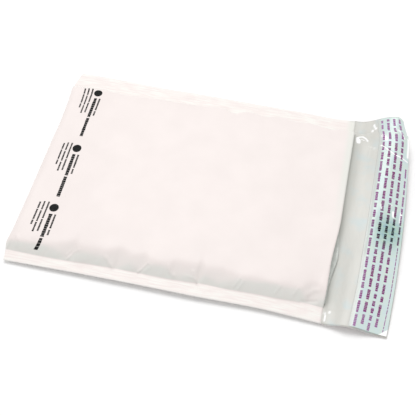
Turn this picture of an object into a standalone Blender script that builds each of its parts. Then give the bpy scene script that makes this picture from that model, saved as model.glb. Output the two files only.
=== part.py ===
"""Padded envelope: a poly bubble mailer with an open, self-sealing flap.

One plastic film is folded and welded along both sides into a pouch, and its
back runs on past the mouth as the flap. A folded sheet of bubble film lines the
pouch. A strip of hot-melt adhesive lies on the flap under a release liner.

Metres, +Z up, +X from the fold towards the flap, Y across. The origin is at
the middle of the underside. The envelope lies on its back, flap open.
"""

import math

import bmesh
import bpy
from mathutils import Vector

# Outside sizes of the envelope
WIDTH = 0.241
BODY = 0.305
FLAP = 0.060
SEAL = 0.0125
FULL_HEIGHT = 0.016
FOLD_HEIGHT = 0.012
MOUTH_HEIGHT = 0.015

# The film
FILM = 0.0003
WELD = 0.0002
WALL = 0.016
FOLD_DEPTH = 0.0065
SEAL_HEIGHT = 0.0032
SEAL_LIFT = 0.0020
WAIST = 0.0025
BOW = 0.0035

# What it is lined and closed with
CLEARANCE = 0.00025
BUBBLE = 0.003
BUBBLE_FRONT = BODY - 0.006
BUBBLE_OVERHANG = 0.003
ADHESIVE = 0.0003
ADHESIVE_EDGES = (0.032, 0.054)
ADHESIVE_MARGIN = 0.006
RELEASE = 0.0003
RELEASE_EDGES = (0.026, 0.0594)
RELEASE_MARGIN = 0.0012

# Derived
HALF = WIDTH / 2
SEAL_LINE = HALF - SEAL
PLY = FILM + WELD
BUBBLE_EDGE = SEAL_LINE - 0.3 * WALL
LENGTH = BODY + FLAP
CENTRE_X = 0.1833
STEP = 0.0002

# Stations of the meshes, as distances from the fold and from the middle
BODY_STATIONS = (0.008, 0.02, 0.036, 0.06, 0.095, 0.14, 0.19, 0.235, 0.265, 0.285, BUBBLE_FRONT)
FLAP_STATIONS = (0.003, 0.008, 0.014, 0.02, 0.026, 0.032, 0.0375, 0.043, 0.0485, 0.054, 0.0594)
WALL_STATIONS = (0.0, 0.07, 0.17, 0.3, 0.5, 0.75, 1.0)
MIDDLE_STATIONS = (0.0, 0.33, 0.66)
FOLD_ANGLES = (0.0, 15.0, 35.0, 60.0, 90.0)


def clamp(value):
    return max(0.0, min(1.0, value))


def ease(value):
    value = clamp(value)
    return value * value * (3 - 2 * value)


def rise(y):
    """0 in the side welds, 1 where the pouch is full."""
    inward = clamp((SEAL_LINE - abs(y)) / WALL)
    return math.sqrt(1 - (1 - inward) ** 2)


def height(x):
    """Height of the filled pouch at this distance from the fold."""
    swell = (FULL_HEIGHT - FOLD_HEIGHT) * ease(x / 0.07)
    droop = (FULL_HEIGHT - MOUTH_HEIGHT) * ease((x - BODY + 0.08) / 0.08)
    return FOLD_HEIGHT + swell - droop


def half_gap(x, y):
    """Half the distance between the two films."""
    return (PLY + (height(x) - FILM - PLY) * rise(y)) / 2


def centre(x, y):
    """Height midway between the two films: the welds lie lower than the middle."""
    weld = SEAL_HEIGHT + SEAL_LIFT * math.sin(math.pi * clamp(x / BODY))
    return weld * (1 - rise(y)) + height(x) / 2 * rise(y)


def waisted(x, y):
    """The filled pouch draws its own side welds inwards."""
    pull = WAIST / HALF * math.sin(math.pi * clamp(x / BODY)) ** 2
    return y * (1 - pull)


def flap_height(along, y):
    """The open flap waves over its length, and its far corner curls up."""
    side = y / HALF
    crest = 0.58 + 0.20 * side
    fall = 0.535 - 0.085 * side
    wave = 0.0080 + 0.00525 * side + 0.00375 * side * side
    end = 0.0050 + 0.0025 * side - 0.0015 * side * side
    start = centre(BODY, y) - half_gap(BODY, y)
    if along < crest:
        bump = 0.5 - 0.5 * math.cos(math.pi * along / crest)
    else:
        bump = 0.5 + 0.5 * math.cos(math.pi * clamp((along - crest) / fall))
    return start * (1 - along) ** 1.5 + wave * bump + end * along * along


def on_flap(reach, y):
    """Point of the flap at this distance along its film from the mouth."""
    x = BODY
    steps = max(1, round(reach / 0.0012))
    low = flap_height(0.0, y)
    for step in range(1, steps + 1):
        high = flap_height(reach * step / steps / FLAP, y)
        run = (reach / steps) ** 2 - (high - low) ** 2
        x += math.sqrt(max(run, 0.0))
        low = high
    bow = BOW * ease(reach / FLAP) * (1 - (y / HALF) ** 2)
    return Vector((x + bow, y, low))


def on_body(x, y, side):
    z = centre(x, y) + side * half_gap(x, y)
    return Vector((x, waisted(x, y), z))


def on_fold(angle, y):
    """Point of the fold at this angle: -90 at the front, 90 at the back."""
    turn = math.radians(angle)
    gap = half_gap(FOLD_DEPTH, y)
    deep = FOLD_DEPTH * gap / half_gap(FOLD_DEPTH, 0.0)
    x = deep * (1 - math.cos(turn))
    return Vector((x, waisted(x, y), centre(FOLD_DEPTH, y) - gap * math.sin(turn)))


def on_film(kind, where, y):
    if kind == "fold":
        return on_fold(where, y)
    if kind == "front":
        return on_body(where, y, 1)
    if kind == "back":
        return on_body(where, y, -1)
    return on_flap(where, y)


def inwards(kind, where, y):
    """Unit normal of the film, pointing into the pouch or up from the flap."""
    step = {"fold": 0.5, "front": -STEP, "back": STEP, "flap": STEP}[kind]
    travel = on_film(kind, where + step, y) - on_film(kind, where - step, y)
    across = on_film(kind, where, y + STEP) - on_film(kind, where, y - STEP)
    return travel.cross(across).normalized()


def row_of(kind, where, inset):
    """One row of a sheet: a function from y to a point this far inside the film."""

    def place(y):
        point = on_film(kind, where, y)
        if inset > 0.0:
            point = point + inwards(kind, where, y) * inset
        return point

    return place


def film_rows(front_end, flap_end, inset=0.0):
    """Rows from the front of the mouth round the fold and along the back."""
    stations = [x for x in BODY_STATIONS if x < front_end] + [front_end]
    rows = [row_of("front", x, inset) for x in reversed(stations)]
    angles = [-a for a in reversed(FOLD_ANGLES[1:])] + list(FOLD_ANGLES)
    rows += [row_of("fold", a, inset) for a in angles]
    rows += [row_of("back", x, inset) for x in BODY_STATIONS]
    rows.append(row_of("back", BODY, inset))
    reaches = [p for p in FLAP_STATIONS if p < flap_end] + [flap_end]
    return rows + [row_of("flap", p, inset) for p in reaches]


def film_columns(edge, *outer):
    """Distances from the middle, closer together in the steep side walls."""
    walls = [SEAL_LINE - WALL * part for part in WALL_STATIONS]
    inner = [(SEAL_LINE - WALL) * part for part in MIDDLE_STATIONS]
    right = sorted({y for y in inner + walls + list(outer) if y < edge - 1e-6} | {edge})
    return [-y for y in reversed(right) if y > 0] + right


def sheet(name, rows, columns, thickness, collection, material=None):
    """A grid moved onto the rows, then given its thickness on both sides."""
    build = bmesh.new()
    across = len(columns) - 1
    along = len(rows) - 1
    bmesh.ops.create_grid(build, x_segments=across, y_segments=along, size=1.0)
    for vertex in build.verts:
        column = round((vertex.co.x + 1) / 2 * across)
        row = round((vertex.co.y + 1) / 2 * along)
        point = rows[row](columns[column])
        vertex.co = point - Vector((CENTRE_X, 0, 0))
    mesh = bpy.data.meshes.new(name)
    build.to_mesh(mesh)
    build.free()
    thing = bpy.data.objects.new(name, mesh)
    collection.objects.link(thing)
    solid = thing.modifiers.new("Thickness", "SOLIDIFY")
    solid.thickness = thickness
    solid.offset = 0.0
    solid.use_even_offset = True
    if material is not None:
        mesh.materials.append(material)
    return thing


def material(name, colour, roughness):
    made = bpy.data.materials.new(name)
    made.use_nodes = True
    shader = made.node_tree.nodes["Principled BSDF"]
    shader.inputs["Base Color"].default_value = (*colour, 1.0)
    shader.inputs["Roughness"].default_value = roughness
    shader.inputs["Metallic"].default_value = 0.0
    return made


def new_collection(name):
    made = bpy.data.collections.new(name)
    bpy.context.scene.collection.children.link(made)
    return made


def weld_bar(name, side, helpers):
    """The fused band between the two films of one side seam."""
    columns = [side * (SEAL_LINE - 0.0002), side * (HALF - 0.0004)]
    rows = [
        lambda y, x=x: Vector((x, waisted(x, y), centre(x, y)))
        for x in (0.00012, *BODY_STATIONS, BODY - 0.0006)
    ]
    bar = sheet(name, rows, sorted(columns), PLY, helpers)
    bar.hide_render = True
    bar.display_type = "WIRE"
    return bar


def join(thing, helper):
    union = thing.modifiers.new("Weld", "BOOLEAN")
    union.operation = "UNION"
    union.solver = "EXACT"
    union.object = helper


def film_pouch(parts, helpers):
    rows = film_rows(BODY, FLAP)
    columns = film_columns(HALF, SEAL_LINE + SEAL / 2)
    white = material("polyethylene_film", (0.86, 0.84, 0.83), 0.45)
    pouch = sheet("film_pouch", rows, columns, FILM, parts, white)
    join(pouch, weld_bar("weld_near", -1, helpers))
    join(pouch, weld_bar("weld_far", 1, helpers))
    return pouch


def bubble_liner(parts):
    inset = FILM / 2 + CLEARANCE + BUBBLE / 2
    rows = film_rows(BUBBLE_FRONT, BUBBLE_OVERHANG, inset)
    columns = film_columns(BUBBLE_EDGE)
    clear = material("bubble_film", (0.80, 0.82, 0.82), 0.25)
    return sheet("bubble_liner", rows, columns, BUBBLE, parts, clear)


def flap_layer(name, edges, margin, inset, thickness, parts, finish):
    """A strip lying on the inside of the flap."""
    inside = [p for p in FLAP_STATIONS if edges[0] < p < edges[1]]
    reaches = [edges[0], *inside, edges[1]]
    rows = [row_of("flap", p, inset) for p in reaches]
    columns = film_columns(HALF - margin, SEAL_LINE)
    return sheet(name, rows, columns, thickness, parts, finish)


def main():
    for old in list(bpy.data.objects):
        bpy.data.objects.remove(old, do_unlink=True)
    parts = new_collection("padded_envelope")
    helpers = new_collection("helpers")
    helpers.hide_render = True
    film_pouch(parts, helpers)
    bubble_liner(parts)

    inset = FILM / 2 + CLEARANCE + ADHESIVE / 2
    glue = material("hot_melt_adhesive", (0.72, 0.76, 0.70), 0.15)
    flap_layer("adhesive_strip", ADHESIVE_EDGES, ADHESIVE_MARGIN, inset, ADHESIVE, parts, glue)

    inset += ADHESIVE / 2 + CLEARANCE + RELEASE / 2
    aqua = material("siliconised_film", (0.62, 0.76, 0.72), 0.2)
    flap_layer("release_liner", RELEASE_EDGES, RELEASE_MARGIN, inset, RELEASE, parts, aqua)


main()
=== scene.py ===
# %% [markdown]
# # A padded envelope, lying open
#
# A poly bubble mailer is made from webs of film. One film, white outside and
# grey inside, is folded across the bottom and heat-welded along both sides.
# Its back runs on past the mouth as the flap. A folded sheet of bubble film
# lines the pouch. A strip of hot melt on the flap waits under a release liner.
#
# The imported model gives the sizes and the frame: +X runs from the fold to the
# flap, +Y across, +Z up. Every soft piece here replaces the plain solid of the
# same piece, and stays where that solid is.

import math

import bpy
import numpy as np
from mathutils import Matrix, Vector


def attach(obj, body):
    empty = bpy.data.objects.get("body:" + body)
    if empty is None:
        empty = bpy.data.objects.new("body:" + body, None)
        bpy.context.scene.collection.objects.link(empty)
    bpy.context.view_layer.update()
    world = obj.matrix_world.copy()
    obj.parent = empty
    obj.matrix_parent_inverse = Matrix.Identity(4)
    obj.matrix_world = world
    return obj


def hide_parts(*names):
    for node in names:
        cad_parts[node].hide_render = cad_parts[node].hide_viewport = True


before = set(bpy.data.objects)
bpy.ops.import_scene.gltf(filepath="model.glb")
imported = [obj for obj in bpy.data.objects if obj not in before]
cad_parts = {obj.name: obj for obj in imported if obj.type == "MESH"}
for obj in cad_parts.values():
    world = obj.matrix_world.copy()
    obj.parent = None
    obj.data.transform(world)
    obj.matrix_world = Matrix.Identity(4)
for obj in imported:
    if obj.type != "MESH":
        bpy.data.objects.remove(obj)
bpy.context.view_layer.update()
MM = 0.001
print("nodes:", sorted(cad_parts))

# %% [markdown]
# ## Sizes
#
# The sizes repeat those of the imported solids, in metres. Film of 0.075 mm would
# be thinner than a hair, so the film here is drawn a little thicker, which keeps
# the cut edges from flickering.

# %% Sizes
WIDTH = 0.241
BODY = 0.305
FLAP = 0.060
FULL_HEIGHT = 0.016
FOLD_HEIGHT = 0.012
MOUTH_HEIGHT = 0.015
WALL = 0.016
FOLD_DEPTH = 0.0065
WELD_HEIGHT = 0.0032
WELD_LIFT = 0.0020
BOW = 0.0035
CENTRE_X = 0.1833
FILM = 0.0002
PLY = 0.0003
HALF = WIDTH / 2
FOLD_RUN = 0.0098
# The film's length in the fold, less the distance that the fold covers
FOLD_EXTRA = 0.0033
MOUTH = FOLD_RUN + BODY - FOLD_DEPTH
print("fold to flap end along the film, mm:", round((MOUTH + FLAP) / MM, 1))

# %% [markdown]
# ## Lines along the pouch
#
# A flat film can't close smoothly round a thick edge, so its spare length
# gathers. Between two tucks the side wall stands up in an arch. At a tuck the
# arch dies away and the panel comes down to the weld as a valley. The weld was
# drawn in by this, so its edge and its inner line wander by a few millimetres.
# Each line is a short table of (distance from the fold, value) in millimetres.

# %% Lines
NEAR_EDGE = [(0, 120.5), (62, 119.6), (132, 119.2), (183, 119.4), (220, 118.4)]
NEAR_EDGE += [(247, 117.9), (281, 119.2), (305, 120.2)]
FAR_EDGE = [(0, 120.5), (27, 120.8), (63, 119.3), (92, 117.9), (137, 118.2)]
FAR_EDGE += [(206, 118.0), (246, 118.4), (283, 117.6), (305, 119.6)]
NEAR_WELD = [(0, 109.2), (31, 110.1), (63, 110.3), (81, 109.3), (107, 108.9), (160, 108.8)]
NEAR_WELD += [(177, 107.9), (190, 106.7), (212, 107.6), (258, 106.9)]
NEAR_WELD += [(274, 105.7), (289, 104.6), (305, 105)]
FAR_WELD = [(0, 101.8), (50, 100.5), (60, 99.4), (71, 99.6), (95, 102.6), (140, 102.6)]
FAR_WELD += [(168, 105.6), (174, 101.4), (181, 100.8), (187, 104), (196, 106.8), (205, 104.3)]
FAR_WELD += [(213, 103.5), (223, 106.2), (233, 106.5), (243, 104), (259, 106), (275, 104)]
FAR_WELD += [(283, 103), (292, 104.3), (305, 103.4)]
# How far each arch of the near wall reaches in from the weld; about 1 is a tuck
NEAR_ARCHES = [(-5, 6), (4, 5.3), (9, 10.5), (17, 12.5), (24, 10.7), (34, 9.9), (47, 6.7)]
NEAR_ARCHES += [(54, 5.1), (62.7, 1.2), (67.6, 6.8), (73, 7.9), (79, 7.7), (88, 6.9), (93, 7.3)]
NEAR_ARCHES += [(98, 5.4), (106.5, 0.4), (110.7, 1.2), (120.6, 6), (129.5, 2.4), (131, 1)]
NEAR_ARCHES += [(136.7, 6.9), (142, 7.8), (147, 8.9)]
NEAR_ARCHES += [(152, 8.6), (157, 6.9), (161, 3.6), (166, 3.2)]
NEAR_ARCHES += [(174, 4.6), (182, 4.9), (185, 0.8), (187, 1), (190.5, 5.8), (195, 5.4), (201, 4)]
NEAR_ARCHES += [(206, 3.3), (210, 4.8), (216, 5.8), (221, 7.5), (224, 9.1), (235, 8.5), (243, 9.1)]
NEAR_ARCHES += [(249, 12.1), (255, 14.6), (259, 13.8)]
NEAR_ARCHES += [(264, 9.6), (270, 8.8), (276, 9.4), (281, 9.8)]
NEAR_ARCHES += [(285, 5), (289, 1.6), (294, 1.4), (299, 4.5), (306, 6.5)]
# How high the back rises at the mouth, by the distance across: it is nearly shut
MOUTH_LIFT = [(-110, 2.5), (-70, 2.5), (-40, 3), (-15, 6.0), (10, 9.5), (90, 10.5), (105, 9)]
# How far the folded edge stands out, by the distance across
FOLD_LINE = [(-120.5, -1.2), (-115, -1.5), (-109, -3.0), (-104, -4.4), (-91, -2.5), (-43, -0.9)]
FOLD_LINE += [(17, 0.2), (44, 1.2), (75, 0.8), (93, -0.6), (102, -1.0), (110, 0.5), (120.5, 2.8)]


def line(table, blur):
    """A function through a table, in metres. blur in mm rounds its corners."""
    at = np.arange(-140.0, 340.0, 0.25)
    values = np.interp(at, *zip(*table))
    reach = np.arange(-40, 41) * 0.25
    weights = np.exp(-((reach / blur) ** 2) / 2)
    values = np.convolve(np.pad(values, 40, mode="edge"), weights / weights.sum(), mode="valid")
    return lambda place: np.interp(place / MM, at, values) * MM


near_edge, far_edge = line(NEAR_EDGE, 6), line(FAR_EDGE, 6)
near_weld, far_weld = line(NEAR_WELD, 3), line(FAR_WELD, 1.6)
near_arches, fold_line = line(NEAR_ARCHES, 0.8), line(FOLD_LINE, 2.5)
mouth_lift = line(MOUTH_LIFT, 6)

# %% [markdown]
# ## The shape of the filled pouch
#
# One function gives the point of the film at any distance s along it, negative
# on the front and positive on the back and the flap, and y across it. The front
# climbs steeply from the weld up to its arch's edge, then gently to the panel,
# which is nearly flat because the bubble film inside is flat. The back leaves
# the weld in a quarter circle and lies on the floor, and it rises again near the
# mouth, which is nearly shut.

# %% Shape helpers
STEEP = 1.12
GENTLE = 0.60
FAR_WALL = 0.006


def ease(value):
    value = np.clip(value, 0.0, 1.0)
    return value * value * (3 - 2 * value)


def soft_min(first, second, rounding):
    """The smaller of the two, with a rounded change from one to the other."""
    return (first + second - np.sqrt((first - second) ** 2 + rounding**2)) / 2


def seam(x, y):
    """Distance from the middle to the inner line of the side weld."""
    return np.where(y < 0, near_weld(x), far_weld(x))


def height(x):
    swell = (FULL_HEIGHT - FOLD_HEIGHT) * ease(x / 0.07)
    droop = (FULL_HEIGHT - MOUTH_HEIGHT) * ease((x - BODY + 0.08) / 0.08)
    return FOLD_HEIGHT + swell - droop


def weld_height(x):
    return WELD_HEIGHT + WELD_LIFT * np.sin(math.pi * np.clip(x / BODY, 0, 1))


def front_height(x, y):
    inward = seam(x, y) - np.abs(y)
    room = height(x) - weld_height(x)
    arch = np.where(y < 0, near_arches(x), FAR_WALL)
    slope = np.where(y < 0, STEEP, room / FAR_WALL)
    bent = slope * arch + GENTLE * (inward - arch)
    risen = soft_min(soft_min(slope * inward, bent, 0.0012), room, 0.0026)
    return weld_height(x) + np.clip(risen, 0, None)


def back_height(x, y):
    inward = np.clip((seam(x, y) - np.abs(y)) / WALL, 0, 1)
    fallen = np.sqrt(1 - (1 - inward) ** 2)
    lifted = mouth_lift(y) * fallen * ease((x - BODY + 0.06) / 0.06)
    return (weld_height(x) - PLY) * (1 - fallen) + FILM / 2 + lifted


def outline(x, y):
    """Draws y in to the true edge of the envelope at x."""
    return y * np.where(y < 0, near_edge(x), far_edge(x)) / HALF


# %% The flap's wave
def flap_height(part, y):
    """Height of the flap at this part of its length, 0 at the mouth, 1 at its end."""
    side = y / HALF
    crest = 0.58 + 0.20 * side
    fall = 0.535 - 0.085 * side
    wave = 0.0080 + 0.00525 * side + 0.00375 * side * side
    end = 0.0050 + 0.0025 * side - 0.0015 * side * side
    start = back_height(BODY, y)
    up = 0.5 - 0.5 * np.cos(math.pi * part / crest)
    down = 0.5 + 0.5 * np.cos(math.pi * np.clip((part - crest) / fall, 0, 1))
    bump = np.where(part < crest, up, down)
    return start * np.clip(1 - part, 0, 1) ** 2.4 + wave * bump + end * part * part


def flap_points(reach, y):
    """The flap at this distance along its film: x is what is left after its rises."""
    steps = reach[..., None] * np.linspace(0, 1, 41)
    heights = flap_height(steps / FLAP, y[..., None])
    runs = np.diff(steps, axis=-1) ** 2 - np.diff(heights, axis=-1) ** 2
    x = BODY + np.sqrt(np.clip(runs, 0, None)).sum(axis=-1)
    x = x + BOW * ease(reach / FLAP) * (1 - (y / HALF) ** 2)
    x = x - 0.0042 * ease((y - 0.098) / 0.022) * ease((reach / FLAP - 0.7) / 0.3)
    return np.stack([x, y, heights[..., -1]], axis=-1)


# %% The whole film
def lip(y):
    """The front's cut edge, set back a little on its near half."""
    return BODY + 0.0015 - 0.0032 * ease((-y - 0.012) / 0.055)


def pouch_points(s, y):
    run = np.abs(s)
    top = front_height(FOLD_DEPTH, y)
    bottom = back_height(FOLD_DEPTH, y)
    deep = FOLD_DEPTH * np.clip((top - bottom) / FOLD_HEIGHT, 0.05, 1)
    turn = np.clip(run / FOLD_RUN, 0, 1) * math.pi / 2 * np.where(s < 0, 1, -1)
    part = np.clip((run - FOLD_RUN) / (MOUTH - FOLD_RUN), 0, 1)
    end = np.where(s < 0, lip(y), BODY)
    in_fold = run < FOLD_RUN
    x = np.where(in_fold, deep * (1 - np.cos(turn)), deep + part * (end - deep))
    level = np.where(s < 0, front_height(x, y), back_height(x, y))
    round_fold = (top + bottom) / 2 + (top - bottom) / 2 * np.sin(turn)
    shifted = x + fold_line(y) * (1 - ease(x / 0.035))
    return np.stack([shifted, outline(x, y), np.where(in_fold, round_fold, level)], axis=-1)


def film_points(s, y):
    s, y = np.broadcast_arrays(np.asarray(s, float), np.asarray(y, float))
    reach = np.clip(s - MOUTH, 0, None)
    return np.where((s > MOUTH)[..., None], flap_points(reach, y), pouch_points(s, y))


print("height in the middle, mm:", round(float(film_points(-0.15, 0.0)[2]) / MM, 2))

# %% [markdown]
# ## Dents, ridges and creases
#
# The panel has shallow dents from handling. Short ridges run up out of the
# tucks. On the flap and on its release liner run sharp creases, and where a
# crease is tallest the film is painted white as a painted highlight. Points are
# (distance from the fold or from the mouth, distance across), in millimetres.

# %% Relief helpers
def waves(x, y, length, seed, count=7):
    """A smooth random field between about -1 and 1, with dents of this length."""
    rng = np.random.default_rng(seed)
    total = np.zeros(np.broadcast(x, y).shape)
    for _ in range(count):
        angle, phase = rng.uniform(0, 2 * math.pi, 2)
        pace = 2 * math.pi / length * rng.uniform(0.6, 1.4)
        total += np.sin((x * math.cos(angle) + y * math.sin(angle)) * pace + phase)
    return total / math.sqrt(count * 2)


def segment_distance(x, y, start, end):
    run = np.array(end) - np.array(start)
    part = ((x - start[0]) * run[0] + (y - start[1]) * run[1]) / (run @ run)
    part = np.clip(part, 0, 1)
    return np.hypot(x - start[0] - part * run[0], y - start[1] - part * run[1])


def path_distance(x, y, points):
    """Distance in mm from a crease that is a chain of points in mm."""
    pairs = zip(points[:-1], points[1:])
    return np.min([segment_distance(x, y, a, b) for a, b in pairs], axis=0)


# %% Tables of creases
# Each is a chain of points, a half width in mm and a height in mm
FRONT_RIDGES = [
    ([(9, -96), (11.5, -101), (14.5, -106)], 1.0, 0.7),
    ([(23, -98), (26, -103)], 1.6, -0.4),
    ([(63.5, -108), (66, -102.5), (70, -100)], 0.9, 0.5),
    ([(60.5, -105.5), (62.5, -100.5)], 0.8, 0.35),
    ([(97, -101.5), (102, -105), (108, -108.5)], 1.3, 0.6),
    ([(131.5, -107.5), (134.5, -103.5), (137.5, -100)], 0.9, 0.7),
    ([(137, -106), (141, -103), (142, -100)], 0.8, 0.3),
    ([(157, -99), (160, -103.5), (164, -105)], 1.2, 0.5),
    ([(180.5, -98.5), (183, -102.5), (188.5, -107.5)], 1.0, 0.9),
    ([(176, -103), (184.5, -104.5)], 0.8, 0.35),
    ([(221, -104.5), (225, -98)], 0.8, 0.5),
    ([(225.5, -105.5), (229, -99)], 0.8, 0.4),
    ([(259, -103.5), (263, -97)], 0.9, 0.4),
    ([(276, -101), (279.5, -95)], 0.9, 0.4),
    ([(288, -98), (293, -93), (297, -92)], 2.0, 0.7),
    ([(284, -104), (298, -101)], 0.9, -0.6),
    ([(300, -92), (302, -70)], 1.2, 0.25),
]
FLAP_CREASES = [
    ([(6.6, 91.0), (7.2, 88.6)], 1.9, 0.6),
    ([(4.6, 93.0), (8.0, 95.8), (11.2, 96.4), (14.0, 94.4), (16.4, 91.0)], 0.7, 0.5),
    ([(9.6, 93.0), (12.6, 91.6)], 0.4, 0.25),
    ([(18.4, 107.4), (21.6, 105.6)], 0.7, 0.4),
    ([(22.0, 114.0), (23.4, 110.0), (25.4, 107.2)], 0.9, 0.5),
    ([(19.4, 80.0), (19.2, 70.0)], 0.4, 0.12),
    ([(17.8, 84.2), (26.0, 81.8)], 0.5, 0.12),
    ([(0.4, -108.0), (1.4, -112.0), (0.8, -117.0)], 0.6, 0.5),
    ([(1.6, -108.5), (6.0, -106.6)], 0.5, 0.25),
]
LINER_CREASES = [
    ([(30.2, 84.6), (33.4, 82.6), (38.0, 78.4), (44.0, 73.9), (50.0, 72.4), (58.0, 71.0)],
     0.6, 0.6),
    ([(32.0, 96.6), (34.6, 92.6)], 2.2, 0.3),
    ([(47.6, 8.8), (48.2, 4.2)], 1.3, 0.3),
    ([(55.8, 10.6), (55.6, 0.2)], 1.2, 0.3),
    ([(58.2, 98.0), (58.0, 77.0)], 1.6, 0.25),
    ([(48.0, 104.0), (53.0, 96.0)], 0.7, 0.25),
    ([(36.0, 14.0), (36.8, 9.5)], 0.5, 0.2),
    ([(43.0, 12.6), (45.6, 16.4)], 0.5, 0.2),
]


def creases(table, along, y):
    """Height of all the creases of a table, in metres."""
    total = np.zeros(np.broadcast(along, y).shape)
    for points, width, tall in table:
        far = path_distance(along / MM, y / MM, points)
        total += tall * MM * np.exp(-((far / width) ** 2))
    return total


def relief(s, y):
    """How far the film stands out of its plain shape, outwards."""
    s, y = np.broadcast_arrays(s, y)
    run = np.clip(np.abs(s) - FOLD_EXTRA, 0, BODY)
    inward = np.clip(seam(run, y) - np.abs(y), 0, None)
    panel = waves(s, y, 0.085, 3) * 0.00050 + waves(s, y, 0.034, 8) * 0.00012
    ripple = waves(s, y * 0.25, 0.0085, 15) * 0.00022 * np.exp(-((inward / 0.011) ** 2))
    ridges = creases(FRONT_RIDGES, run, y)
    front = ease(inward / 0.02) * panel + ease(inward / 0.003) * ripple + ridges
    front = front * np.clip((-s - 0.002) / 0.01, 0, 1)
    reach = s - MOUTH
    flap = waves(reach, y, 0.045, 5) * 0.00022 - creases(FLAP_CREASES, reach, y)
    flap = flap * ease(reach / 0.004)
    return np.where(s > MOUTH, flap, np.where(s < 0, front, 0))


# %% Points on the film, with relief
STEP = 0.00025


def outward(s, y):
    """Unit normals of the plain film, pointing out of the pouch."""
    travel = film_points(s + STEP, y) - film_points(s - STEP, y)
    across = film_points(s, y + STEP) - film_points(s, y - STEP)
    normal = np.cross(across, travel)
    return normal / np.maximum(np.linalg.norm(normal, axis=-1, keepdims=True), 1e-12)


def skin(s, y, lift=0.0):
    """Points this far outside the film's middle, relief included, in the world's frame."""
    s, y = np.broadcast_arrays(np.asarray(s, float), np.asarray(y, float))
    points = film_points(s, y) + outward(s, y) * (relief(s, y) + lift)[..., None]
    return points - np.array([CENTRE_X, 0.0, 0.0])


# %% [markdown]
# ## Rows and columns
#
# The film is one grid of points. Its columns follow the welds: a few across each
# weld, close together in the walls, wide apart on the panels. Its rows are close
# together beside a tuck and wide apart elsewhere, so the triangles go where the
# shape changes.

# %% Grid stations
def columns(weld=7, wall=26, middle=22):
    """Labels across half of the film: 0 edge, 1 weld, 2 panel, 3 middle."""
    labels = [np.linspace(0, 1, weld, endpoint=False)]
    labels.append(1 + np.linspace(0, 1, wall, endpoint=False) ** 1.2)
    labels.append(np.linspace(2, 3, middle + 1))
    return np.concatenate(labels)


def across(labels, x, side):
    """Turns the labels into distances across, at the distance x from the fold."""
    x = x[:, None]
    zone = 0.021
    line = seam(x, np.full_like(x, side)) * np.ones_like(labels)
    in_weld = HALF + (line - HALF) * labels
    in_wall = line - zone * (labels - 1)
    inside = (line - zone) * (3 - labels)
    return side * np.where(labels < 1, in_weld, np.where(labels < 2, in_wall, inside))


def spread(start, end, gap):
    """Stations from start to end with a changing gap, given by a function."""
    found = [start]
    while found[-1] < end:
        found.append(found[-1] + gap(found[-1]))
    found = np.array(found)
    return start + (found - start) * (end - start) / (found[-1] - start)


TUCKS = (6, 63, 97, 108, 121, 130, 137, 160, 185, 206, 224, 262, 280, 294)


def front_gap(run):
    off = min(abs(run - FOLD_EXTRA - place * MM) for place in TUCKS)
    return 0.0008 + 0.0010 * float(ease((off - 0.003) / 0.006))


# %% [markdown]
# ## Meshes from two sheets of points
#
# A film or a pad has an outer and an inner surface. The helper takes both as
# grids of points, joins their borders with a rim and so makes one closed mesh.
# Each side can have its own material, as a co-extruded film has two colours.

# %% Slab helper
def grid_faces(rows, count, offset, flipped):
    base = np.arange(rows * count).reshape(rows, count) + offset
    a, b = base[:-1, :-1], base[:-1, 1:]
    c, d = base[1:, 1:], base[1:, :-1]
    order = (a, b, c, d) if flipped else (a, d, c, b)
    return np.stack([corner.ravel() for corner in order], axis=1)


def border(rows, count):
    """The border of a grid, in order, as indices."""
    base = np.arange(rows * count).reshape(rows, count)
    return np.concatenate([base[0, :-1], base[:-1, -1], base[-1, :0:-1], base[:0:-1, 0]])


def slab(name, outer, inner, materials, fields=None):
    """A closed mesh between two grids of points. fields are numbers kept per point."""
    rows, count = outer.shape[:2]
    points = np.concatenate([outer.reshape(-1, 3), inner.reshape(-1, 3)])
    total = rows * count
    top = grid_faces(rows, count, 0, True)
    bottom = grid_faces(rows, count, total, False)
    edge = border(rows, count)
    after = np.roll(edge, -1)
    rim = np.stack([edge, edge + total, after + total, after], axis=1)
    mesh = bpy.data.meshes.new(name)
    faces = np.concatenate([top, bottom, rim])
    mesh.from_pydata(points.tolist(), [], faces.tolist())
    for material in materials:
        mesh.materials.append(material)
    if len(materials) > 1:
        index = np.concatenate([np.zeros(len(top)), np.ones(len(bottom)), np.zeros(len(rim))])
        mesh.polygons.foreach_set("material_index", index.astype(np.int32))
    for field, values in (fields or {}).items():
        layer = mesh.attributes.new(field, "FLOAT", "POINT")
        layer.data.foreach_set("value", np.tile(values.ravel(), 2).astype(np.float32))
    mesh.polygons.foreach_set("use_smooth", np.ones(len(faces), bool))
    mesh.update()
    thing = bpy.data.objects.new(name, mesh)
    bpy.context.scene.collection.objects.link(thing)
    print(name, "triangles:", 2 * len(faces))
    return thing


# %% [markdown]
# ## Materials
#
# Film is polyethylene: a soft, waxy plastic with an index of refraction of 1.51.
# Blown film has a satin surface with fine unevenness of a few millimetres, which
# shows as a soft, broken gloss. All patterns here are worked out in millimetres
# from two numbers that every film mesh carries: the distance along it and across.

# %% Colour and node helpers
def srgb(code):
    """A hex colour as the linear numbers that a shader takes."""
    parts = [int(code[i : i + 2], 16) / 255 for i in (1, 3, 5)]
    linear = [c / 12.92 if c <= 0.04045 else ((c + 0.055) / 1.055) ** 2.4 for c in parts]
    return (*linear, 1.0)


def node(tree, kind, links=None, sockets=None, **settings):
    """Adds one node, with its settings, its socket values and its links."""
    made = tree.nodes.new(kind)
    for name, value in settings.items():
        setattr(made, name, value)
    for name, value in (sockets or {}).items():
        made.inputs[name].default_value = value
    for name, source in (links or {}).items():
        tree.links.new(source, made.inputs[name])
    return made


def new_material(name):
    made = bpy.data.materials.new(name)
    made.use_nodes = True
    return made, made.node_tree, made.node_tree.nodes["Principled BSDF"]


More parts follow.
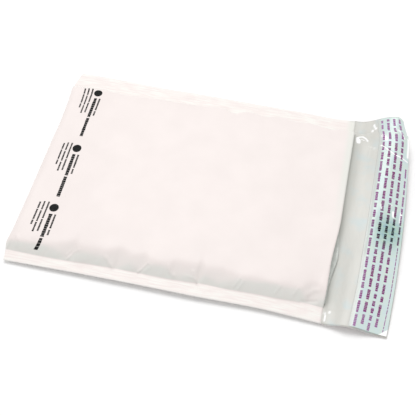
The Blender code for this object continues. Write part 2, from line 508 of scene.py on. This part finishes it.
def film_place(tree):
    """The place on the film in millimetres, as a vector (along, across, 0)."""
    along = node(tree, "ShaderNodeAttribute", attribute_name="along")
    across_film = node(tree, "ShaderNodeAttribute", attribute_name="across")
    links = {"X": along.outputs["Fac"], "Y": across_film.outputs["Fac"]}
    return node(tree, "ShaderNodeCombineXYZ", links).outputs[0]


def mixed(tree, factor, first, second):
    """One colour or another, by a factor. Each is a hex code or a socket."""
    made = node(tree, "ShaderNodeMix", {"Factor": factor}, data_type="RGBA")
    for socket, colour in ((made.inputs[6], first), (made.inputs[7], second)):
        if isinstance(colour, str):
            socket.default_value = srgb(colour)
        else:
            tree.links.new(colour, socket)
    return made.outputs[2]


# %% [markdown]
# ### White film
#
# The outer layer of the co-extruded polyethylene holds titanium dioxide, which
# makes it an opaque white with a faint warm tint. It was blown, then nipped
# between rollers, so it is satin with shallow unevenness. Where it is welded it
# was pressed against a ribbed hot bar, and shows fine lines along the seam.

# %% White film material
def noise(tree, place, size, detail=2.0, stretch=(1, 1, 1)):
    """Noise with features of this size in mm, drawn out by the stretch."""
    scale = tuple(1 / (size * part) for part in stretch)
    mapping = node(tree, "ShaderNodeMapping", {"Vector": place}, {"Scale": scale})
    sockets = {"Scale": 1.0, "Detail": detail, "Roughness": 0.5}
    return node(tree, "ShaderNodeTexNoise", {"Vector": mapping.outputs[0]}, sockets).outputs["Fac"]


def ranged(tree, value, low, high, to_low=0.0, to_high=1.0):
    sockets = {"From Min": low, "From Max": high, "To Min": to_low, "To Max": to_high}
    made = node(tree, "ShaderNodeMapRange", {"Value": value}, sockets)
    return made.outputs["Result"]


def product(tree, first, second):
    return node(tree, "ShaderNodeMath", {0: first, 1: second}, operation="MULTIPLY").outputs[0]


def bumped(tree, height_mm, distance_mm, strength=1.0, after=None):
    links = {"Height": height_mm}
    if after is not None:
        links["Normal"] = after
    sockets = {"Strength": strength, "Distance": distance_mm * MM}
    return node(tree, "ShaderNodeBump", links, sockets).outputs["Normal"]


def field(tree, name):
    """One of the numbers kept per point of the mesh."""
    return node(tree, "ShaderNodeAttribute", attribute_name=name).outputs["Fac"]


def white_film():
    made, tree, shader = new_material("white_polyethylene_film")
    place = film_place(tree)
    tint = ranged(tree, noise(tree, place, 30.0), 0.35, 0.65)
    colour = mixed(tree, tint, "#eae1de", "#e7dedb")
    weld = field(tree, "weld")
    streaks = ranged(tree, noise(tree, place, 1.5, 2.0, (12, 1, 1)), 0.35, 0.65)
    blotches = ranged(tree, noise(tree, place, 9.0, 2.0, (1.6, 1, 1)), 0.4, 0.6)
    pressed = mixed(tree, streaks, "#e7ddda", "#ede6e2")
    pressed = mixed(tree, product(tree, blotches, streaks), pressed, "#ecebe6")
    colour = mixed(tree, weld, colour, pressed)
    # Painted highlight: a near-white band along the welded edges.
    colour = mixed(tree, field(tree, "rim"), colour, "#fbf8f4")
    # Painted shade: the steep walls are painted a greener grey, in uneven patches.
    patchy_shade = ranged(tree, noise(tree, place, 7.0, 2.0), 0.35, 0.7, 0.75, 1.0)
    colour = mixed(tree, product(tree, patchy_shade, field(tree, "wall")), colour, "#e2e3de")
    colour = mixed(tree, field(tree, "mouth"), colour, "#e0e0da")
    tree.links.new(colour, shader.inputs["Base Color"])
    lines = product(tree, noise(tree, place, 0.9, 1.0, (22, 1, 1)), weld)
    normal = bumped(tree, noise(tree, place, 2.6, 3.0), 0.06)
    normal = bumped(tree, lines, 0.08, 1.0, normal)
    tree.links.new(normal, shader.inputs["Normal"])
    shader.inputs["Roughness"].default_value = 0.45
    shader.inputs["IOR"].default_value = 1.51
    shader.inputs["Specular IOR Level"].default_value = 0.35
    return made


# %% [markdown]
# ### Grey film
#
# The inner layer of the same film is coloured grey, so that nothing shows
# through. It was never pressed against the bar's ribs on the flap, so it is
# smoother and glossier than the white side, with long faint streaks from the
# blowing.

# %% Grey film material
def grey_film():
    made, tree, shader = new_material("grey_polyethylene_film")
    place = film_place(tree)
    streak = ranged(tree, noise(tree, place, 7.0, 2.0, (1, 5, 1)), 0.3, 0.7)
    colour = mixed(tree, streak, "#cfcec8", "#c9c8c2")
    cloud = ranged(tree, noise(tree, place, 16.0), 0.5, 0.75)
    colour = mixed(tree, product(tree, cloud, field(tree, "flap")), colour, "#c2cccc")
    colour = mixed(tree, field(tree, "shade"), colour, "#b9bbb4")
    # Painted highlights: the tallest creases of the flap are painted white.
    colour = mixed(tree, field(tree, "painted_highlight"), colour, "#ffffff")
    tree.links.new(colour, shader.inputs["Base Color"])
    normal = bumped(tree, noise(tree, place, 3.0), 0.06)
    normal = bumped(tree, noise(tree, place, 2.5, 1.0, (1, 8, 1)), 0.07, 1.0, normal)
    tree.links.new(normal, shader.inputs["Normal"])
    shader.inputs["Roughness"].default_value = 0.3
    shader.inputs["IOR"].default_value = 1.51
    shader.inputs["Specular IOR Level"].default_value = 0.35
    return made


WHITE_FILM = white_film()
GREY_FILM = grey_film()
print("materials:", WHITE_FILM.name, GREY_FILM.name)

# %% [markdown]
# ## The film pouch
#
# The rows run from the front's lip round the fold, along the back and out along
# the flap. The numbers kept per point say where the film is welded, where its
# welded edge gets a painted highlight, where its steep wall gets painted shade,
# how near the mouth it is, where the pouch shades it, and where a crease gets a
# painted highlight.

# %% Film rows
front_rows = -spread(0.012, MOUTH, front_gap)[::-1]
fold_rows = np.linspace(-0.0105, 0.0105, 19)
back_rows = spread(0.012, MOUTH, lambda run: 0.0042)
flap_rows = MOUTH + spread(0.0007, FLAP, lambda reach: 0.0008)
film_rows = np.concatenate([front_rows, fold_rows, back_rows, flap_rows])
labels = columns()
film_x = np.clip(np.abs(film_rows) - FOLD_EXTRA, 0, BODY)
near_half = across(labels, film_x, -1.0)
far_half = across(labels[:-1], film_x, 1.0)[:, ::-1]
film_y = np.concatenate([near_half, far_half], axis=1)
film_s = np.repeat(film_rows[:, None], film_y.shape[1], axis=1)
print("film rows and columns:", film_y.shape)

# %% Film fields
def steepness(x, y):
    """How steeply the front falls towards the weld, 0 on the panel."""
    step = 0.0004
    drop = front_height(x, y + step) - front_height(x, y - step)
    return np.abs(drop) / (2 * step)


inward = seam(film_x[:, None], film_y) - np.abs(film_y)
reach = film_s - MOUTH
# Painted highlight: white where a flap crease is tall.
painted_highlight = np.clip(creases(FLAP_CREASES, reach, film_y) / (0.22 * MM), 0, 1) ** 2
film_fields = {
    "along": film_s / MM,
    "across": film_y / MM,
    "weld": ease(-inward / 0.0012) * (reach < 0),
    # Painted shade on the steep walls of the front
    "wall": ease((steepness(film_x[:, None], film_y) - 0.3) / 0.9) * ease(inward / 0.001),
    # Painted highlight along the welded edges
    "rim": ease((np.abs(film_y) - HALF + 0.0014) / 0.0008) * (reach < 0),
    "mouth": ease((-film_s - MOUTH + 0.010) / 0.007) * ease((film_y + 0.045) / 0.09),
    "flap": ease(reach / 0.012),
    "shade": np.exp(-np.clip(reach, 0, 1) / 0.005) * ease(inward / 0.012),
    "painted_highlight": painted_highlight * (reach > -0.002),
}
film = slab(
    "film_skin",
    skin(film_s, film_y, FILM / 2),
    skin(film_s, film_y, -FILM / 2),
    [WHITE_FILM, GREY_FILM],
    film_fields,
)
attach(film, "root")
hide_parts("film_pouch")

# %% [markdown]
# ## Bubble film
#
# The liner is two thin films with air sealed between them: rows of round bubbles
# 9 mm across, staggered, with a flat web between. The bubbles face the outer
# film, so that things slide over the flat side. It is built as a sheet whose
# outer surface rises in a dome at each bubble.

# %% Bubble film material
def bubble_film():
    made, tree, shader = new_material("clear_bubble_film")
    place = film_place(tree)
    cloud = ranged(tree, noise(tree, place, 5.0), 0.3, 0.7)
    tree.links.new(mixed(tree, cloud, "#d3d6d1", "#c3c7c1"), shader.inputs["Base Color"])
    tree.links.new(bumped(tree, noise(tree, place, 1.5), 0.05), shader.inputs["Normal"])
    shader.inputs["Roughness"].default_value = 0.16
    shader.inputs["IOR"].default_value = 1.51
    return made


BUBBLE = 0.003
PITCH = 0.0105


def domes(s, y):
    """Height of the bubbles, 0 on the web and 1 on top."""
    row = np.round(s / (PITCH * 0.866))
    shift = np.where(row % 2 == 0, 0.0, PITCH / 2)
    off_y = (y - shift) - PITCH * np.round((y - shift) / PITCH)
    off_s = s - row * PITCH * 0.866
    far = np.hypot(off_s, off_y) / 0.0046
    return np.sqrt(np.clip(1 - far**3, 0, 1))


# %% Bubble liner
def deep_gap(run):
    """Close rows near the mouth, wider ones deep in the pouch."""
    return 0.0009 + 0.0018 * float(ease((MOUTH - 0.03 - run) / 0.03))


def room(s, y):
    """Space for one layer of bubble film: it is pressed flat towards the welds."""
    x = np.clip(np.abs(s) - FOLD_EXTRA, 0, BODY)
    gap = front_height(x, y) - back_height(x, y) - 4 * FILM
    return np.clip(gap * 0.42, 0.0004, BUBBLE)


def bubble_end(y):
    """Where the back layer ends: a slack part of it shows past the mouth."""
    return MOUTH - 0.0006 + 0.0052 * np.exp(-(((y + 0.048) / 0.022) ** 2))


pad_front = -spread(0.012, MOUTH - 0.004, deep_gap)[::-1]
pad_back = spread(0.012, MOUTH, deep_gap)
pad_rows = np.concatenate([pad_front, np.linspace(-0.0105, 0.0105, 15), pad_back])
pad_labels = np.concatenate([np.linspace(1.2, 2, 9)[:-1], np.linspace(2, 3, 52)])
pad_x = np.clip(np.abs(pad_rows) - FOLD_EXTRA, 0, BODY)
pad_near = across(pad_labels, pad_x, -1.0)
pad_far = across(pad_labels[:-1], pad_x, 1.0)[:, ::-1]
pad_y = np.concatenate([pad_near, pad_far], axis=1)
pad_s = np.repeat(pad_rows[:, None], pad_y.shape[1], axis=1)
stretch = ease((pad_s - MOUTH + 0.03) / 0.03)
pad_s = pad_s + stretch * (bubble_end(pad_y) - MOUTH)
web = FILM / 2 + 0.00025
dome = domes(pad_s, pad_y)
thick = room(pad_s, pad_y)
liner = slab(
    "bubble_sheet",
    skin(pad_s, pad_y, -(web + 0.85 * thick * (1 - dome))),
    skin(pad_s, pad_y, -(web + thick)),
    [bubble_film()],
    {"along": pad_s / MM, "across": pad_y / MM},
)
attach(liner, "root")
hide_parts("bubble_liner")

# %% [markdown]
# ## Adhesive and release liner
#
# The hot melt is a clear, glossy band. The release liner over it is a thin
# polyester or polyethylene film with a silicone coat: pale aqua, very smooth,
# and stiffer than the flap, so it shows sharp creases, painted white along
# their tops as painted highlights.

# %% Hot melt
def hot_melt():
    made, tree, shader = new_material("hot_melt_adhesive")
    place = film_place(tree)
    streak = noise(tree, place, 3.0, 2.0, (1, 5, 1))
    tree.links.new(mixed(tree, streak, "#b9c4b8", "#a8b5ab"), shader.inputs["Base Color"])
    tree.links.new(bumped(tree, streak, 0.15), shader.inputs["Normal"])
    shader.inputs["Roughness"].default_value = 0.1
    shader.inputs["IOR"].default_value = 1.49
    return made


def strip_grid(start, end, gap, margin, count):
    """Rows and columns of a strip on the inside of the flap."""
    reaches = np.arange(start, end + gap / 2, gap)
    sides = np.linspace(-HALF + margin, HALF - margin, count)
    return np.meshgrid(MOUTH + reaches, sides, indexing="ij")


glue_s, glue_y = strip_grid(0.032, 0.054, 0.0011, 0.006, 200)
glue_ripple = waves(glue_s, glue_y, 0.006, 12) * 0.00004
glue = slab(
    "adhesive_band",
    skin(glue_s, glue_y, -0.0003),
    skin(glue_s, glue_y, -0.0006 + glue_ripple),
    [hot_melt()],
    {"along": glue_s / MM, "across": glue_y / MM},
)
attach(glue, "root")
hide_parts("adhesive_strip")

# %% Release film material
def release_film():
    made, tree, shader = new_material("siliconised_release_film")
    place = film_place(tree)
    cloud = ranged(tree, noise(tree, place, 6.0, 2.0, (1, 1.6, 1)), 0.35, 0.65)
    colour = mixed(tree, cloud, "#cddcd4", "#c9d9da")
    # A patch of the liner is painted a darker green-blue.
    patch_cloud = ranged(tree, noise(tree, place, 4.0), 0.35, 0.65)
    patch_colour = mixed(tree, patch_cloud, "#a9c6b4", "#92b4bb")
    colour = mixed(tree, field(tree, "darker_patch"), colour, patch_colour)
    colour = mixed(tree, field(tree, "fade"), colour, "#cbcdc9")
    # Painted highlights: tall creases and the near corner are painted white.
    colour = mixed(tree, field(tree, "painted_highlight"), colour, "#ffffff")
    tree.links.new(colour, shader.inputs["Base Color"])
    tree.links.new(bumped(tree, noise(tree, place, 4.0), 0.08), shader.inputs["Normal"])
    shader.inputs["Roughness"].default_value = 0.2
    shader.inputs["IOR"].default_value = 1.5
    shader.inputs["Specular IOR Level"].default_value = 0.35
    return made


# %% Release liner
BEND = [(-120.5, -3.4), (-100, -2.4), (-80, -1.2), (-50, -0.8), (0, -0.3), (30, 0)]
BEND += [(60, 0.9), (85, 1.6), (105, 1.2), (120.5, -0.6)]
bend = line(BEND, 5)


def liner_relief(s, y):
    """The release liner's height over the flap, with its ripples and creases."""
    reach = s - MOUTH
    lifted = ease((reach - 0.0267 - bend(y)) / 0.0045)
    ripple = (waves(reach, y, 0.02, 21) + 1.2) * 0.00012
    return 0.00016 + lifted * (0.00074 + ripple) + creases(LINER_CREASES, reach, y)


def on_liner(s, y, lift=0.0):
    return skin(s, y, -(liner_relief(s, y) + lift))


def darker_patch(reach, y):
    """Where the liner is painted darker, in a patch near its middle."""
    far = ((y + 0.013) / 0.017) ** 2 + np.abs((reach - 0.046) / 0.0135) ** 3
    return np.exp(-far)


def highlight_corner(reach, y):
    """1 in the near corner of the liner, which is painted white as a painted highlight."""
    return ease((reach / MM - 51.0 - 1.15 * (y / MM + 119.5)) / 1.0) * (y < -0.104)


release_part, release_y = np.meshgrid(
    np.linspace(0, 1, 58), np.linspace(-HALF + 0.0012, HALF - 0.0012, 420), indexing="ij"
)
start = 0.0263 + bend(release_y)
release_s = MOUTH + start + (0.0594 - start) * release_part
release_reach = release_s - MOUTH
# The tallest creases and the near corner are painted white: painted highlights.
release_highlight = np.clip(creases(LINER_CREASES, release_reach, release_y) / (0.2 * MM), 0, 1) ** 2
release_highlight = np.maximum(release_highlight, highlight_corner(release_reach, release_y))
release = slab(
    "release_film",
    on_liner(release_s, release_y, 0.0),
    on_liner(release_s, release_y, 0.00012),
    [release_film()],
    {
        "along": release_s / MM,
        "across": release_y / MM,
        "darker_patch": darker_patch(release_reach, release_y),
        "fade": 1 - ease((release_s - MOUTH - start) / 0.006),
        "painted_highlight": release_highlight,
    },
)
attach(release, "root")
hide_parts("release_liner")

# %% [markdown]
# ## Print
#
# Films are printed by flexography: a thin, matt layer of ink. The print here is
# plain: rows of broken dashes along the release liner, and three groups of a
# disc and plain bars beside the fold. Each mark is a patch of ink 0.03 mm thick
# that follows the film under it.

# %% Ink
# How far the top and the underside of the ink stand over the film's middle
INK_LIFTS = (0.00017, 0.00014)


def ink(name, colour, patchy, darkest):
    made, tree, shader = new_material(name)
    where = node(tree, "ShaderNodeNewGeometry").outputs["Position"]
    sockets = {"Scale": 700.0, "Detail": 1.0}
    thin = node(tree, "ShaderNodeTexNoise", {"Vector": where}, sockets).outputs["Fac"]
    thin = ranged(tree, thin, 0.4, 0.8)
    shown = mixed(tree, thin, colour, patchy)
    shown = mixed(tree, field(tree, "pale"), shown, patchy)
    shown = mixed(tree, field(tree, "deep"), shown, darkest)
    tree.links.new(shown, shader.inputs["Base Color"])
    shader.inputs["Roughness"].default_value = 0.5
    shader.inputs["Specular IOR Level"].default_value = 0.1
    return made


def patches(name, surface, marks, material, shades=None):
    """Ink patches that follow a surface. A mark is (s0, s1, y0, y1) in metres."""
    points, faces, fields = [], [], {"pale": [], "deep": []}
    for s0, s1, y0, y1 in marks:
        rows = max(2, round(abs(s1 - s0) / 0.0010) + 1)
        count = max(2, round(abs(y1 - y0) / 0.0010) + 1)
        s, y = np.meshgrid(np.linspace(s0, s1, rows), np.linspace(y0, y1, count), indexing="ij")
        if shades:
            s = s + bend(y) * (1 - 0.5 * np.clip((s - MOUTH - 0.031) / 0.025, 0, 1))
        layers = [surface(s, y, lift).reshape(-1, 3) for lift in INK_LIFTS]
        total, offset = rows * count, sum(len(p) for p in points)
        edge = border(rows, count)
        after = np.roll(edge, -1)
        rim = np.stack([edge, edge + total, after + total, after], axis=1) + offset
        faces.append(grid_faces(rows, count, offset, True))
        faces += [grid_faces(rows, count, offset + total, False), rim]
        points += layers
        found = shades(s - MOUTH, y) if shades else (0 * s, 0 * s)
        for field_name, values in zip(("pale", "deep"), found):
            fields[field_name].append(np.tile(values.ravel(), 2))
    mesh = bpy.data.meshes.new(name)
    mesh.from_pydata(np.concatenate(points).tolist(), [], np.concatenate(faces).tolist())
    mesh.materials.append(material)
    for field_name, values in fields.items():
        layer = mesh.attributes.new(field_name, "FLOAT", "POINT")
        layer.data.foreach_set("value", np.concatenate(values).astype(np.float32))
    mesh.update()
    thing = bpy.data.objects.new(name, mesh)
    bpy.context.scene.collection.objects.link(thing)
    print(name, "marks:", len(marks))
    return thing


def broken(start, end, rng, low, high, gap):
    """Cuts a dash into blocks of changing length, all in mm."""
    blocks, at = [], start
    while at < end - 0.4:
        stop = min(at + rng.uniform(low, high), end)
        blocks.append((at, stop))
        at = stop + gap
    return blocks


# %% Dashes of the release liner
# Place of each row from the mouth, half width, first and last point across, in mm
DASH_ROWS = [
    (31.2, 1.15, -118.0, 116.5),
    (37.4, 1.30, -114.0, 117.0),
    (43.6, 1.30, -118.5, 117.0),
    (49.9, 1.25, -113.0, 117.0),
    (56.3, 0.95, -25.0, 63.0),
]


def dashes(seed):
    """Broken dashes along each row."""
    rng = np.random.default_rng(seed)
    marks = []
    for place, half, low, high in DASH_ROWS:
        y = low
        while y < high - 2:
            end = min(y + rng.uniform(4.5, 12.5), high)
            for start, stop in broken(y, end, rng, 0.9, 2.2, 0.28):
                wide = half * rng.uniform(0.82, 1.08)
                sides = (MOUTH + (place - wide) * MM, MOUTH + (place + wide) * MM)
                marks.append((*sides, start * MM, stop * MM))
            y = end + rng.uniform(1.7, 2.9)
    for start, stop in broken(-116.0, -27.0, rng, 2.0, 7.0, 0.8):
        marks.append((MOUTH + 0.0564, MOUTH + 0.0572, start * MM, stop * MM))
    return marks


def dash_shades(reach, y):
    """(pale, deep): the ink is thin towards the ends and darker on the liner's darker patch."""
    ends = np.maximum(ease((y - 0.078) / 0.03), ease((-y - 0.094) / 0.02))
    edge_row = ease((reach - 0.0535) / 0.002) * 0.6
    pale = np.clip(0.75 * ends + edge_row + 0.45 * (reach < 0.0335), 0, 1)
    return pale, np.clip(1.5 * darker_patch(reach, y) ** 1.2, 0, 1)


purple = ink("purple_flexo_ink", "#74165f", "#9f6d9f", "#190f22")
liner_print = patches("liner_dashes", on_liner, dashes(4), purple, dash_shades)

# %% Bars beside the fold
# Place from the fold, half width, start and end below the group's top, in mm
BARS = [
    (30.6, 1.75, 13.5, 40.0),
    (30.6, 1.75, 41.6, 66.0),
    (35.2, 0.95, 13.5, 30.0),
    (35.2, 0.95, 31.4, 37.5),
    (24.5, 0.85, 0.0, 19.8),
    (24.5, 0.85, 20.8, 34.5),
    (20.3, 0.85, 0.2, 10.0),
    (20.3, 0.85, 11.2, 24.0),
    (20.3, 0.85, 25.0, 36.0),
    (16.3, 0.85, 1.5, 9.0),
    (16.3, 0.85, 10.0, 22.0),
    (16.3, 0.85, 23.0, 28.5),
]
GROUP_TOPS = (0.0955, 0.0195, -0.0540)
LAST_INK = -0.1075


def bars(seed):
    """Broken bars for every group, none beyond the wall."""
    rng = np.random.default_rng(seed)
    marks = []
    for top in GROUP_TOPS:
        for place, wide, start, end in BARS:
            s = -(place * MM + FOLD_EXTRA)
            pieces = broken(start, end, rng, 0.8 * wide + 0.4, 1.2 * wide + 0.6, 0.22)
            for first, last in pieces:
                low, high = top - last * MM, top - first * MM
                if low > LAST_INK:
                    half = wide * rng.uniform(0.86, 1.05) * MM
                    marks.append((s - half, s + half, low, high))
    return marks


black = ink("black_flexo_ink", "#101212", "#2b2d2d", "#101212")
front_print = patches("front_bars", skin, bars(9), black)

# %% Discs
def disc(name, s0, y0, radius, material):
    """A round patch of ink on the front, as rings of points."""
    rings, count = 6, 40
    angle = np.linspace(0, 2 * math.pi, count, endpoint=False)
    size = np.linspace(0.02, 1, rings)[:, None] * radius
    s, y = s0 + size * np.cos(angle), y0 + size * np.sin(angle)
    points = np.concatenate([skin(s, y, lift).reshape(-1, 3) for lift in INK_LIFTS])
    faces = []
    total = rings * count
    for level, flip in ((0, False), (total, True)):
        for ring in range(rings - 1):
            for k in range(count):
                a = level + ring * count + k
                b = level + ring * count + (k + 1) % count
                quad = [a, b, b + count, a + count]
                faces.append(quad[::-1] if not flip else quad)
        first = [level + k for k in range(count)]
        faces.append(first if flip else first[::-1])
    for k in range(count):
        a, b = total - count + k, total - count + (k + 1) % count
        faces.append([a, b, b + total, a + total][::-1])
    mesh = bpy.data.meshes.new(name)
    mesh.from_pydata(points.tolist(), [], faces)
    mesh.materials.append(material)
    mesh.update()
    thing = bpy.data.objects.new(name, mesh)
    bpy.context.scene.collection.objects.link(thing)
    return thing


discs = [
    disc(f"front_disc_{k + 1}", -(0.0313 + FOLD_EXTRA), top - 0.0060, 0.0046, black)
    for k, top in enumerate(GROUP_TOPS)
]
for piece, slot in [(liner_print, "siliconised_film"), (front_print, "polyethylene_film")]:
    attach(piece, "root")
for piece in discs:
    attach(piece, "root")

# %% [markdown]
# ## Floor, light and camera
#
# A white sweep under a large soft light. The main light is high and a little
# behind the envelope, so that the side walls near the camera turn grey and a
# narrow shadow falls to the front and the right. The even light of the world
# opens up that shadow. The camera looks down at about 58 degrees from a little right of
# straight on, with a short telephoto lens.

# %% Floor
bpy.ops.mesh.primitive_plane_add(size=6.0, location=(0, 0, -0.0003))
floor = bpy.context.object
floor.name = "floor"
floor_paint, tree, shader = new_material("white_sweep")
where = node(tree, "ShaderNodeNewGeometry").outputs["Position"]
grain = node(tree, "ShaderNodeTexNoise", {"Vector": where}, {"Scale": 400.0}).outputs["Fac"]
tree.links.new(mixed(tree, grain, "#fbfbfb", "#fafafa"), shader.inputs["Base Color"])
shader.inputs["Roughness"].default_value = 0.9
shader.inputs["Specular IOR Level"].default_value = 0.0
floor.data.materials.append(floor_paint)

# %% Light
def area_light(name, place, target, size, power):
    data = bpy.data.lights.new(name, "AREA")
    data.shape = "DISK"
    data.size = size
    data.energy = power
    lamp = bpy.data.objects.new(name, data)
    bpy.context.scene.collection.objects.link(lamp)
    lamp.location = place
    lamp.rotation_euler = (Vector(target) - Vector(place)).to_track_quat("-Z", "Y").to_euler()
    return lamp


area_light("main_light", (-0.38, 0.85, 2.0), (0, 0, 0), 1.3, 22.0)

world = bpy.data.worlds.new("studio")
bpy.context.scene.world = world
world.use_nodes = True
world.node_tree.nodes["Background"].inputs["Color"].default_value = (1, 1, 1, 1)
world.node_tree.nodes["Background"].inputs["Strength"].default_value = 0.76

# %% Camera
def look(elevation, azimuth, distance, aim, roll, lens):
    """A camera at these angles from the aim. Azimuth 0 looks along +Y."""
    up, turn = math.radians(elevation), math.radians(azimuth)
    back = Vector((math.sin(turn) * math.cos(up), -math.cos(turn) * math.cos(up), math.sin(up)))
    right = Vector((math.cos(turn), math.sin(turn), 0))
    top = back.cross(right)
    tilt = math.radians(roll)
    x = right * math.cos(tilt) + top * math.sin(tilt)
    y = top * math.cos(tilt) - right * math.sin(tilt)
    data = bpy.data.cameras.new("camera")
    data.sensor_width = 36.0
    data.lens = lens
    made = bpy.data.objects.new("camera", data)
    bpy.context.scene.collection.objects.link(made)
    turned = Matrix((x, y, back)).transposed().to_4x4()
    made.matrix_world = Matrix.Translation(Vector(aim) + back * distance) @ turned
    return made


aim = (0.1760 - CENTRE_X, -0.0191, 0.0)
bpy.context.scene.camera = look(57.7, 12.31, 0.797, aim, 0.23, 69.23)
bpy.context.scene.view_settings.view_transform = "Standard"
